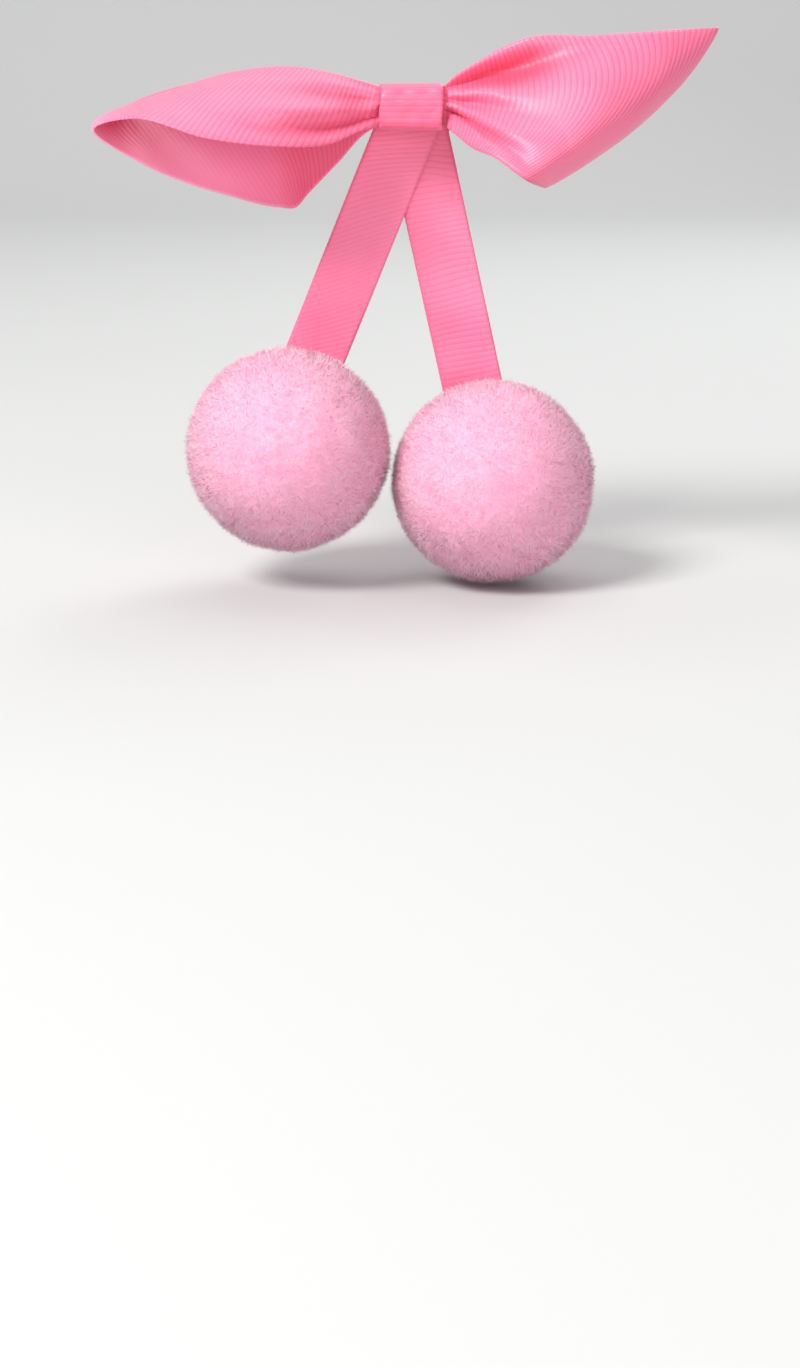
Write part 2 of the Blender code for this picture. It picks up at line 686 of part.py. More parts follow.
def make_jaw(material, hinge):
    """Sprung strip curled round the pin at its top and flared outward below its pad."""
    curl = KNUCKLE_RADIUS - JAW_THICK / 2
    path = []
    steps = 18
    for step in range(steps + 1):
        angle = math.radians(-50) + step / steps * math.radians(-310)
        path.append((PIN_Y + curl * math.cos(angle), PIN_Z + curl * math.sin(angle)))
    y = PIN_Y + curl
    bend = -JAW_PAD_HEIGHT / 2 - JAW_THICK
    path += [(y, PIN_Z - KNUCKLE_RADIUS), (y, PIN_Z / 2), (y, bend)]
    lip_steps = 6
    for step in range(1, lip_steps + 1):
        turn = step / lip_steps * JAW_LIP_TURN
        path.append((y + JAW_LIP * (1 - math.cos(turn)), bend - JAW_LIP * math.sin(turn)))
    half = jaw_half_width()
    tip = len(path) - 1
    rows = []
    for index, (depth, height) in enumerate(path):
        near_tip = max(0, index - (tip - lip_steps + 1)) / (lip_steps - 1)
        width = half - JAW_TIP_NARROWING * (1 - math.sqrt(1 - near_tip ** 2))
        rows.append([Vector((across * width, depth, height)) for across in (-1, -0.5, 0, 0.5, 1)])
    jaw = shell("clip_jaw", rows, JAW_THICK)
    outline = rounded_outline(JAW_WINDOW_WIDTH, JAW_WINDOW_HEIGHT, 0.45 * JAW_WINDOW_WIDTH)
    window_z = (JAW_PAD_HEIGHT / 2 + PIN_Z - KNUCKLE_RADIUS) / 2
    window = sheet_from_outline("jaw_window", outline, 6 * JAW_THICK, (0, y, window_z), "Y")
    combine(jaw, window, "DIFFERENCE")
    finish_piece(jaw, material, hinge)


def make_jaw_pad(material, hinge):
    """Rubber pad on the jaw, facing the grip land."""
    y = SHOE_UPPER_THICK + JAW_PAD_THICK / 2
    outline = rounded_outline(2 * (jaw_half_width() - JAW_PAD_INSET), JAW_PAD_HEIGHT, JAW_PAD_THICK)
    pad = sheet_from_outline("jaw_pad", outline, JAW_PAD_THICK, (0, y, 0), "Y")
    finish_piece(pad, material, hinge)


def spring_foot():
    """Height of the spring's foot, which hooks through the slot in the base plate."""
    return PIN_Z - KNUCKLE_RADIUS - SPRING_RISE


def make_spring(material):
    """Leaf spring that bears on the jaw's knuckle, with a foot hooked into the base plate."""
    seat = PLATE_FACE + GAP + SPRING_THICK / 2
    crest = PIN_Y - KNUCKLE_RADIUS - GAP - SPRING_THICK / 2
    foot = spring_foot()
    path = [Vector((0, PLATE_BACK + SPRING_THICK / 2, foot)), Vector((0, PLATE_FACE, foot))]
    path += smooth_curve([Vector((0, seat, foot + SPRING_HEEL)), Vector((0, crest, PIN_Z - SPRING_CREST_DROP)),
                          Vector((0, seat, PIN_Z + SPRING_END_RISE))], 5)
    rows = [[point + Vector((across * SPRING_WIDTH / 2, 0, 0)) for across in (-1, 0, 1)] for point in path]
    finish_piece(shell("clip_spring", rows, SPRING_THICK), material)


# ------------------------------------------------------------------ assembly

clear_scene()
PARTS = new_collection("Pom-pom bow shoe clip")
TOOLS = new_collection("Cutters and joined shapes")

bow_grosgrain = new_material("bow_grosgrain", (0.86, 0.28, 0.44), 0.55)
tail_grosgrain = new_material("tail_grosgrain", (0.83, 0.25, 0.40), 0.55)
pom_pile = new_material("pom_pile", (0.94, 0.60, 0.76), 0.95)
sewing_thread = new_material("thread", (0.90, 0.62, 0.72), 0.8)
clear_glue = new_material("hot_glue", (0.85, 0.83, 0.78), 0.25)
pink_felt = new_material("felt", (0.80, 0.30, 0.42), 0.95)
nickel_steel = new_material("nickel_steel", (0.75, 0.74, 0.72), 0.25, 1.0)
grey_rubber = new_material("rubber", (0.30, 0.29, 0.29), 0.8)

make_bow_ribbon(bow_grosgrain)
make_knot_band(bow_grosgrain)
make_gather_thread(sewing_thread)

make_tail_fold(tail_grosgrain)
tails_swing = add_axis("tails_swing", (0, SWING_Y, SWING_Z))
for tail in ("left", "right"):
    make_tail(tail, tails_swing, tail_grosgrain, clear_glue, pom_pile, sewing_thread)

make_felt(pink_felt)
make_root_glue(clear_glue)

jaw_hinge = add_axis("jaw_hinge", (0, PIN_Y, PIN_Z))
make_base_plate(nickel_steel)
make_hinge_pin(nickel_steel)
make_jaw(nickel_steel, jaw_hinge)
make_jaw_pad(grey_rubber, jaw_hinge)
make_spring(nickel_steel)
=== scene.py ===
"""Looks of the pom-pom bow shoe clip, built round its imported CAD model.

Lengths are in metres, in the row frame: +Z up, the bow faces -Y, the shoe lies on +Y.
"""

import math

import bmesh
import bpy
import numpy as np
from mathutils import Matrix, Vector
from mathutils.kdtree import KDTree


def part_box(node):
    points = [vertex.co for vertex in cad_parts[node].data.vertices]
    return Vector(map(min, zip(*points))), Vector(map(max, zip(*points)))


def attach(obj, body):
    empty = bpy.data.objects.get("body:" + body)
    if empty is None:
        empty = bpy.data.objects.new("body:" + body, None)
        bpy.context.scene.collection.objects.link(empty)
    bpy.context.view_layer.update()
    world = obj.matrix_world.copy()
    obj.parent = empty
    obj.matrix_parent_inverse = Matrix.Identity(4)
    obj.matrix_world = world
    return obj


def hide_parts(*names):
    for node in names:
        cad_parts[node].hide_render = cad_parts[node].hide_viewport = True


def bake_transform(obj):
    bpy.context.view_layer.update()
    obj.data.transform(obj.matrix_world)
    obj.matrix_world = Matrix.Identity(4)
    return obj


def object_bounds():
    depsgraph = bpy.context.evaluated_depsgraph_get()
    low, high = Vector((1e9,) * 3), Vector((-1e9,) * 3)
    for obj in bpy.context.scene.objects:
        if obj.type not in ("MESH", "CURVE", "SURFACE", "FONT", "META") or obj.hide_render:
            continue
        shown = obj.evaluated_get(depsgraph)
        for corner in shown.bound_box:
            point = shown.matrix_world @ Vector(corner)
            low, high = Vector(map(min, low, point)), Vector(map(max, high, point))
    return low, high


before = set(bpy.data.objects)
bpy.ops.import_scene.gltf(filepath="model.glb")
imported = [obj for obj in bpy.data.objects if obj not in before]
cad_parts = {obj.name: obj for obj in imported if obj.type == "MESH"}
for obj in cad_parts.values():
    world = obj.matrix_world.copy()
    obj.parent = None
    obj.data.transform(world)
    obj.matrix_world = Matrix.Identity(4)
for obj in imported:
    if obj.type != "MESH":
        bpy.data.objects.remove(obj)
CAD_BOX = [list(corner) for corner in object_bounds()]

MM = 0.001

# ------------------------------------------------------------------ places taken from the CAD nodes


def low(node):
    return np.array(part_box(node)[0])


def high(node):
    return np.array(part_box(node)[1])


# Ribbons, thread and knot as the CAD model has them
THICK = 0.4 * MM
GAP = 0.3 * MM
THREAD = 0.5 * MM
BOW_WIDTH = 25 * MM
NARROW = 10 * MM
KNOT_DEPTH = 8.2 * MM
KNOT_HALF_HEIGHT = 3.6 * MM
KNOT_Y = low("knot_band")[1] + KNOT_DEPTH / 2
KNOT_Z = (low("knot_band")[2] + high("knot_band")[2]) / 2

# The ribbons' ribs, which the CAD model leaves out
RIB_PITCH = 0.95 * MM
RIB_HEIGHT = 0.065 * MM
EDGE_SCALLOP = 0.07 * MM


# ------------------------------------------------------------------ mesh helpers

def new_object(name, vertices, faces):
    """Smooth shaded object whose faces all have the same number of corners."""
    mesh = bpy.data.meshes.new(name)
    vertices = np.asarray(vertices, np.float32)
    faces = np.asarray(faces, np.int32)
    mesh.vertices.add(len(vertices))
    mesh.vertices.foreach_set("co", vertices.ravel())
    mesh.loops.add(faces.size)
    mesh.loops.foreach_set("vertex_index", faces.ravel())
    mesh.polygons.add(len(faces))
    mesh.polygons.foreach_set("loop_start", np.arange(len(faces), dtype=np.int32) * faces.shape[1])
    mesh.polygons.foreach_set("use_smooth", np.full(len(faces), True))
    mesh.update(calc_edges=True)
    item = bpy.data.objects.new(name, mesh)
    bpy.context.scene.collection.objects.link(item)
    return item


def add_attribute(item, name, values):
    values = np.asarray(values, np.float32)
    kind = "FLOAT" if values.ndim == 1 else "FLOAT_VECTOR"
    layer = item.data.attributes.new(name, kind, "POINT")
    layer.data.foreach_set("value" if kind == "FLOAT" else "vector", values.ravel())


def unit(vectors):
    return vectors / np.maximum(np.linalg.norm(vectors, axis=-1, keepdims=True), 1e-12)


def smoothstep(low_edge, high_edge, x):
    t = np.clip((x - low_edge) / (high_edge - low_edge), 0, 1)
    return t * t * (3 - 2 * t)


def wave_noise(seed, count, scale):
    """Smooth random waves: a function of points (n, 3) that gives values of about -1 to 1."""
    rng = np.random.default_rng(seed)
    directions = unit(rng.normal(size=(count, 3))) * rng.uniform(0.6, 1.6, (count, 1)) / scale
    phases = rng.uniform(0, 2 * math.pi, count)

    def value(points):
        return np.sin(points @ directions.T * 2 * math.pi + phases).sum(-1) / math.sqrt(count / 2)
    return value


# ------------------------------------------------------------------ ribbon

def hermite(points, spans):
    """Points of smooth curves through points (stations, rows, 3), at station parameters spans."""
    last = len(points) - 1
    index = np.clip(spans.astype(int), 0, last - 1)
    t = (spans - index)[:, None, None]
    chords = np.linalg.norm(np.diff(points, axis=0), axis=-1)[..., None]
    steps = np.diff(points, axis=0)

    near = np.concatenate([chords[:1], chords])
    far = np.concatenate([chords, chords[-1:]])
    before = np.concatenate([steps[:1], steps])
    after = np.concatenate([steps, steps[-1:]])
    slopes = (before * (far / near) + after * (near / far)) / (near + far)
    start, end = points[index], points[index + 1]
    chord = chords[index]
    leave, arrive = slopes[index] * chord, slopes[index + 1] * chord
    return (start * (2 * t ** 3 - 3 * t ** 2 + 1) + end * (3 * t ** 2 - 2 * t ** 3)
            + leave * (t ** 3 - 2 * t ** 2 + t) + arrive * (t ** 3 - t ** 2))


def rib_profile(along):
    """0 in the groove between two ribs, 1 on top of a rib."""
    return np.sqrt(np.abs(np.sin(math.pi * along / RIB_PITCH)) + 1e-9)


def ribbon(name, grid, along, across):
    """Closed ribbed ribbon through grid (n, m, 3). along (n, m) is the distance along it, across (m,) over it."""
    n, m = grid.shape[:2]
    length_way = np.gradient(grid, axis=0)
    cross_way = np.gradient(grid, axis=1)
    normals = unit(np.cross(length_way, cross_way))
    rib = rib_profile(along)
    half = THICK / 2 - RIB_HEIGHT + RIB_HEIGHT * rib
    from_edge = np.minimum(np.arange(m), np.arange(m)[::-1])
    thin = np.interp(from_edge, [0, 1, 2], [0.45, 0.9, 1.0])
    half = half * thin
    outward = unit(cross_way)
    grid = grid.copy()
    grid[:, 0] -= outward[:, 0] * (EDGE_SCALLOP * rib[:, :1])
    grid[:, -1] += outward[:, -1] * (EDGE_SCALLOP * rib[:, -1:])
    front = grid + normals * half[..., None]
    back = grid - normals * half[..., None]
    index = np.arange(n * m).reshape(n, m)
    other = index + n * m

    def strip(a, b, c, d):
        return np.stack([a.ravel(), b.ravel(), c.ravel(), d.ravel()], -1)
    faces = np.concatenate([
        strip(index[:-1, :-1], index[1:, :-1], index[1:, 1:], index[:-1, 1:]),
        strip(other[:-1, :-1], other[:-1, 1:], other[1:, 1:], other[1:, :-1]),
        strip(index[:-1, 0], other[:-1, 0], other[1:, 0], index[1:, 0]),
        strip(index[:-1, -1], index[1:, -1], other[1:, -1], other[:-1, -1]),
        strip(index[0, :-1], index[0, 1:], other[0, 1:], other[0, :-1]),
        strip(index[-1, :-1], other[-1, :-1], other[-1, 1:], index[-1, 1:]),
    ])
    item = new_object(name, np.concatenate([front.reshape(-1, 3), back.reshape(-1, 3)]), faces)
    weave = np.stack([along, np.broadcast_to(across, along.shape), np.zeros_like(along)], -1).reshape(-1, 3) / MM
    add_attribute(item, "weave", np.concatenate([weave, weave + (0, 0, 7.0)]))
    add_attribute(item, "rib", np.concatenate([rib.ravel()] * 2))
    # shading breaks round both ends, so that no dark line shows where two lengths meet
    at_end = np.zeros(2 * n * m, bool)
    at_end[np.concatenate([index[0], index[-1], other[0], other[-1]])] = True
    pairs = np.empty(len(item.data.edges) * 2, np.int32)
    item.data.edges.foreach_get("vertices", pairs)
    sharp = item.data.attributes.new("sharp_edge", "BOOLEAN", "EDGE")
    sharp.data.foreach_set("value", at_end[pairs.reshape(-1, 2)].all(1))
    return item


# ------------------------------------------------------------------ materials

def srgb(red, green, blue):
    def linear(c):
        c /= 255
        return c / 12.92 if c <= 0.04045 else ((c + 0.055) / 1.055) ** 2.4
    return (linear(red), linear(green), linear(blue), 1.0)


class Shader:
    """A node material with one Principled BSDF, and short calls for the nodes it uses."""

    def __init__(self, name, **values):
        self.material = bpy.data.materials.new(name)
        self.material.use_nodes = True
        self.tree = self.material.node_tree
        self.bsdf = self.tree.nodes["Principled BSDF"]
        for socket, value in values.items():
            self.bsdf.inputs[socket.replace("_", " ").title().replace("Ior", "IOR")].default_value = value

    def node(self, kind, **values):
        made = self.tree.nodes.new(kind)
        for key, value in values.items():
            if key in made.bl_rna.properties:
                setattr(made, key, value)
            else:
                self.put(made.inputs[key.replace("_", " ").title()], value)
        return made

    def put(self, socket, value):
        if isinstance(value, bpy.types.NodeSocket):
            self.tree.links.new(value, socket)
        else:
            socket.default_value = value

    def attribute(self, name, vector=False):
        made = self.node("ShaderNodeAttribute", attribute_name=name)
        return made.outputs["Vector" if vector else "Fac"]

    def scaled(self, vector, scale):
        made = self.node("ShaderNodeMapping", Vector=vector)
        made.inputs["Scale"].default_value = scale
        return made.outputs["Vector"]

    def noise(self, vector, scale, detail=2.0, roughness=0.5):
        made = self.node("ShaderNodeTexNoise", Scale=scale, Detail=detail, Roughness=roughness)
        self.put(made.inputs["Vector"], vector)
        return made.outputs["Fac"]

    def place(self):
        return self.node("ShaderNodeTexCoord").outputs["Object"]

    def maths(self, operation, *values, clamp=False):
        made = self.node("ShaderNodeMath", operation=operation, use_clamp=clamp)
        for socket, value in zip(made.inputs, values):
            self.put(socket, value)
        return made.outputs[0]

    def ramp(self, value, *stops):
        made = self.node("ShaderNodeValToRGB")
        elements = made.color_ramp.elements
        while len(elements) < len(stops):
            elements.new(0.5)
        for element, (position, colour) in zip(elements, stops):
            element.position = position
            element.color = colour if len(colour) == 4 else (*colour, 1)
        self.put(made.inputs["Fac"], value)
        return made.outputs["Color"]

    def mix(self, share, a, b):
        made = self.node("ShaderNodeMix", data_type="RGBA")
        self.put(made.inputs[0], share)
        self.put(made.inputs[6], a)
        self.put(made.inputs[7], b)
        return made.outputs[2]

    def bump(self, height, strength, distance):
        made = self.node("ShaderNodeBump", Strength=strength, Distance=distance)
        self.put(made.inputs["Height"], height)
        return made.outputs["Normal"]

    def finish(self, colour=None, normal=None, roughness=None):
        for socket, value in (("Base Color", colour), ("Normal", normal), ("Roughness", roughness)):
            if value is not None:
                self.put(self.bsdf.inputs[socket], value)
        return self.material


def grosgrain(name, groove, light, deep, paints_light=False):
    """Ribbed polyester ribbon: thick ribs crossed by fine warp yarns, with painted shade in the grooves between the
    ribs. Some carry an attribute of painted light: a glow where light comes through a single layer, and shade down in
    folds.
    """
    made = Shader(name, roughness=0.46, specular_ior_level=0.70, sheen_weight=0.22, sheen_roughness=0.40,
                  sheen_tint=(1.0, 0.75, 0.85, 1.0))
    weave = made.attribute("weave", vector=True)
    rib = made.attribute("rib")
    warp = made.node("ShaderNodeTexWave", wave_type="BANDS", bands_direction="Y", Scale=2 * math.pi / 20 / 0.26,
                     Distortion=0.6)
    made.put(warp.inputs["Vector"], weave)
    warp.inputs["Detail Scale"].default_value = 1.4
    cloud = made.noise(made.scaled(weave, (0.10, 0.22, 1.0)), 1.0, 3.0)
    streak = made.noise(made.scaled(weave, (1.6, 0.10, 1.0)), 1.0, 1.0)
    body = made.mix(made.maths("MULTIPLY_ADD", cloud, 0.6, 0.5, clamp=True), deep, light)
    body = made.mix(made.maths("MULTIPLY", streak, 0.22), body, deep)
    # painted shade: the grooves between the ribs are darker
    body = made.mix(made.ramp(rib, (0.10, (0.6, 0.6, 0.6)), (0.80, (0, 0, 0))), body, groove)
    body = made.mix(made.maths("MULTIPLY", warp.outputs["Fac"], 0.08), body, light)
    if paints_light:
        painted_glow_and_shade = made.attribute("painted_glow_and_shade")
        # painted glow: where light comes through a single layer, the cloth is lighter and pinker
        body = made.mix(made.ramp(painted_glow_and_shade, (0.5, (0, 0, 0)), (1.0, (0.75, 0.75, 0.75))), body, srgb(255, 172, 214))
        # painted shade: down in the folds, the cloth is deeper
        body = made.mix(made.ramp(painted_glow_and_shade, (0.0, (0.7, 0.7, 0.7)), (0.5, (0, 0, 0))), body, srgb(226, 64, 96))
    normal = made.bump(warp.outputs["Fac"], 0.25, 0.02 * MM)
    return made.finish(body, normal)


# each cloth's first colour is painted shade for the grooves between its ribs
BOW_CLOTH = grosgrain("bow_grosgrain_look", srgb(232, 74, 110), srgb(244, 121, 158), srgb(239, 100, 139), True)
BAND_CLOTH = grosgrain("band_grosgrain_look", srgb(230, 72, 110), srgb(242, 106, 144), srgb(236, 90, 130))
TAIL_CLOTH = grosgrain("tail_grosgrain_look", srgb(234, 84, 122), srgb(246, 126, 165), srgb(242, 106, 148))


def pile(name):
    """Short craft pile, with painted shade: deeper down between the fibres, paler towards their tips."""
    made = Shader(name, roughness=0.9, specular_ior_level=0.1, sheen_weight=0.5, sheen_roughness=0.6,
                  sheen_tint=(1.0, 0.92, 0.96, 1.0))
    depth = made.attribute("depth")
    shade = made.attribute("shade")
    colour = made.ramp(shade, (0.15, srgb(250, 185, 211)), (0.5, srgb(253, 204, 226)), (0.85, srgb(255, 217, 234)))
    # painted shade: towards the fibres' roots and on the heart the pink is deeper, where shade falls between the
    # fibres
    colour = made.mix(made.ramp(depth, (0.1, (1, 1, 1)), (0.65, (0, 0, 0))), colour, srgb(246, 150, 188))
    return made.finish(colour)


PILE = pile("pom_pile_look")


def dress(item, material):
    item.data.materials.clear()
    item.data.materials.append(material)
    return item


# ------------------------------------------------------------------ bow ribbon

# Loop stations close to the CAD model's, in millimetres from the knot's centre: the ribbon's top edge, middle
# and lower edge, from the front of the knot round the loop's tip to its back, with the share of pleats left there
LEFT_LOOP = (
    ((7.4, -2.0, 3.9), (7.4, -2.8, 0.0), (7.4, -3.6, -3.5), 1.0),
    ((12.0, -2.0, 5.2), (12.0, -6.5, 0.4), (12.5, -9.5, -5.3), 0.8),
    ((18.0, -1.0, 6.2), (19.8, -10.5, 1.2), (21.0, -16.5, -5.2), 0.3),
    ((27.5, 0.5, 5.4), (30.0, -9.5, 2.0), (31.0, -18.0, -3.8), 0.0),
    ((38.5, 4.5, 1.9), (40.5, -6.0, 1.0), (41.5, -16.0, -1.0), 0.0),
    ((46.5, 9.5, -0.9), (49.0, -1.0, -2.6), (48.4, -11.5, -2.9), 0.0),
    ((42.0, 11.5, 1.0), (42.5, 3.0, -4.6), (41.0, -6.5, -8.9), 0.0),
    ((30.0, 10.5, 4.0), (30.0, 6.0, -5.0), (29.0, -1.5, -13.9), 0.0),
    ((22.5, 9.3, 4.4), (22.0, 7.1, -5.6), (20.6, 0.4, -16.1), 0.1),
    ((19.0, 8.5, 4.5), (18.5, 6.8, -5.4), (18.4, 0.8, -16.2), 0.3),
    ((16.0, 7.4, 4.3), (15.4, 6.2, -4.6), (16.2, 1.3, -13.9), 0.5),
    ((11.6, 5.2, 3.9), (11.2, 4.6, -2.6), (11.4, 2.3, -8.9), 0.8),
    ((7.2, 2.6, 3.3), (7.2, 2.4, -0.6), (7.2, 1.6, -4.3), 1.0),
)
RIGHT_LOOP = (
    ((7.2, -2.0, 4.9), (7.4, -2.9, 0.3), (7.0, -4.2, -4.0), 1.0),
    ((12.0, -2.6, 7.9), (12.4, -7.0, 1.2), (9.8, -10.0, -5.9), 0.8),
    ((18.1, -3.6, 10.7), (20.5, -11.6, 0.8), (13.6, -16.3, -7.2), 0.3),
    ((30.0, -4.0, 11.2), (31.0, -13.0, 1.0), (17.6, -18.4, -10.0), 0.0),
    ((42.0, -2.5, 12.0), (37.5, -8.5, 0.4), (20.7, -13.0, -11.7), 0.0),
    ((50.0, 1.0, 12.2), (39.8, 0.5, -0.6), (22.0, -2.0, -12.1), 0.0),
    ((42.0, 4.8, 11.2), (37.0, 8.0, 0.4), (20.4, 6.5, -10.4), 0.0),
    ((30.0, 6.8, 9.6), (28.5, 10.2, 0.4), (17.0, 10.8, -8.2), 0.0),
    ((17.0, 6.0, 7.2), (16.0, 8.2, 0.4), (11.4, 8.6, -5.6), 0.5),
    ((7.4, 2.8, 3.8), (7.4, 3.0, 0.0), (7.2, 3.2, -3.6), 1.0),
)
LEFT_TIP_ROW = 5
DRAWN_REACH = 50              # of both drawings, in millimetres
LEFT_REACH = 51.7 * MM
RIGHT_REACH = 49.3 * MM
END_INSET = 1.2 * MM          # from an edge of the knot band to the ribbon's end under it
WAIST = 1.5 * MM              # half the length of the knot that the gather thread takes up
LAYER_SHARE = 0.85            # of the knot's inner half depth that the outer layers reach
PLEAT = 0.6 * MM
PLEAT_WAVES = 1.5             # across the ribbon
FRONT_RISE = 3.1 * MM         # the front layer's edges above and below the knot's centre at the band's edges
FRONT_FALL = 2.75 * MM
FRONT_SETBACK = 0.9 * MM

# Folds of each loop's front layer near the knot. Each is followed outward: the distance from the knot's centre in
# millimetres, the place across the ribbon, 0 at its top edge, how far back the cloth stands there in millimetres,
# negative for a ridge, and the fold's half width as a share of the ribbon's.
RIGHT_FOLDS = (
    ((5, 0.00, -0.2, 0.05), (8.5, 0.00, -0.9, 0.09), (11.5, 0.00, -1.4, 0.10), (15, 0.00, -1.7, 0.10),
     (19, 0.00, -1.5, 0.10), (24, 0.00, -0.8, 0.10), (31, 0.00, 0.0, 0.10)),
    ((5, 0.10, 0.1, 0.06), (8.5, 0.19, 2.2, 0.10), (11.5, 0.23, 3.6, 0.12), (15, 0.24, 4.4, 0.13),
     (19, 0.20, 3.6, 0.13), (24, 0.16, 1.6, 0.12), (31, 0.15, 0.0, 0.12)),
    ((5, 0.21, -0.2, 0.05), (8.5, 0.34, -0.7, 0.05), (11.5, 0.38, -0.4, 0.06), (15, 0.40, 0.0, 0.07)),
    ((5, 0.31, 0.2, 0.05), (8.5, 0.47, 0.9, 0.07), (11.5, 0.54, 1.3, 0.09), (15, 0.58, 0.9, 0.10),
     (19, 0.58, 0.3, 0.10), (24, 0.60, 0.0, 0.10)),
    ((5, 0.42, -0.3, 0.06), (6.5, 0.49, -0.9, 0.06), (8.5, 0.60, -1.6, 0.065), (11.5, 0.71, -2.0, 0.06),
     (15, 0.76, -1.7, 0.07), (19, 0.78, -0.8, 0.09), (24, 0.80, 0.0, 0.10)),
    ((5, 0.55, 0.3, 0.05), (6.5, 0.62, 0.9, 0.05), (8.5, 0.715, 1.7, 0.05), (11.5, 0.82, 1.8, 0.05),
     (15, 0.89, 1.1, 0.05), (19, 0.95, 0.3, 0.05), (24, 1.00, 0.0, 0.05)),
)
LEFT_FOLDS = (
    ((5, 0.18, -0.2, 0.06), (8, 0.17, -0.5, 0.07), (13, 0.16, -0.5, 0.08), (20, 0.16, -0.2, 0.10),
     (27, 0.16, 0.0, 0.10)),
    ((5, 0.34, 0.2, 0.06), (8, 0.35, 0.7, 0.07), (13, 0.36, 0.8, 0.09), (20, 0.38, 0.6, 0.12), (30, 0.40, 0.0, 0.12)),
    ((5, 0.55, -0.2, 0.06), (8, 0.56, -0.7, 0.08), (13, 0.57, -1.1, 0.09), (20, 0.60, -1.0, 0.10),
     (28, 0.66, -0.6, 0.12), (37, 0.70, 0.0, 0.12)),
    ((5, 0.78, 0.3, 0.06), (8, 0.79, 1.1, 0.08), (13, 0.81, 2.0, 0.09), (20, 0.83, 1.3, 0.10), (28, 0.85, 0.0, 0.10)),
)

# How far a rib's lower end runs on from its top end, at stations counted from each loop's tip
LEFT_RIB_LEAN = ((-6.5, 0.0), (-5.0, 3.0), (-4.0, 5.0), (-2.0, 7.0), (0.0, 9.0), (1.5, 12.0), (3.5, 12.0), (5.0, 6.0),
                 (6.5, 0.0))


def gathered_station(x, layer):
    """Station of the strip inside the knot at x, in its front (-1), middle (0) or rear layer (1)."""
    wound = min(1.0, (NARROW / 2 - abs(x)) / (NARROW / 2 - WAIST))
    used = THICK + GAP + wound * (THREAD + GAP)
    half_depth, half_height = KNOT_DEPTH / 2 - used, KNOT_HALF_HEIGHT - used
    reach = LAYER_SHARE * half_depth
    pleated = PLEAT + THICK / 2
    outermost = reach if layer else pleated
    height = half_height * (1 - (outermost / half_depth) ** 4) ** 0.25
    centre = np.array((x, KNOT_Y + layer * (reach - pleated), KNOT_Z))
    spread = smoothstep(2.5 * MM, NARROW / 2, abs(x)) if layer < 0 else 0.0
    rise = np.array((0, spread * FRONT_SETBACK, height + spread * (FRONT_RISE - height)))
    fall = np.array((0, spread * FRONT_SETBACK, -height - spread * (FRONT_FALL - height)))
    return centre + rise, centre, centre + fall, 1.0


def gathered_run(start, end, layer):
    """Stations of one layer from x = start to end, with those at the ends of the gather thread."""
    crossed = [x for x in (-WAIST, WAIST) if min(start, end) < x < max(start, end)]
    return [gathered_station(x, layer) for x in sorted([start, *crossed, end], reverse=start > end)]


def loop_stations(drawing, side, reach):
    scale = np.array((reach / DRAWN_REACH * side, MM, MM))
    centre = np.array((0, KNOT_Y, KNOT_Z))
    return [tuple(centre + np.array(point) * scale for point in station[:3]) + (station[3],) for station in drawing]


def bow_stations():
    """Stations of the whole strip, and at which of them each loop's front layer leaves the knot."""
    edge = NARROW / 2
    end = edge - END_INSET
    stations = gathered_run(end, -edge, 0) + loop_stations(LEFT_LOOP, -1, LEFT_REACH)[::-1]
    left_front = len(stations)
    stations += gathered_run(-edge, edge, -1)
    right_front = len(stations) - 1
    stations += loop_stations(RIGHT_LOOP, 1, RIGHT_REACH) + gathered_run(edge, -end, 1)
    return stations, left_front, right_front


def across_points(stations, v):
    """Points of the strip's stations at places v across it."""
    v = v[None, :, None]
    top, mid, bottom = (np.array([station[k] for station in stations])[:, None] for k in range(3))
    points = top * ((1 - v) * (1 - 2 * v)) + mid * (4 * v * (1 - v)) + bottom * (v * (2 * v - 1))
    gather = np.array([station[3] for station in stations])[:, None]
    points[..., 1] += PLEAT * np.cos(2 * math.pi * PLEAT_WAVES * v[..., 0]) * gather
    return points


def fold_offsets(folds, x, v):
    """How far the cloth stands back at distances x (n, m) from the knot's centre and places v (m,) across."""
    shown = np.zeros_like(x)
    for fold in folds:
        stops, places, heights, widths = np.array(fold).T
        at = np.clip(x / MM, stops[0], stops[-1])
        place, height, width = (np.interp(at, stops, values) for values in (places, heights, widths))
        shown += height * np.exp(-((v[None, :] - place) / width) ** 2)
    return shown * MM * smoothstep(4.0 * MM, 5.0 * MM, x)


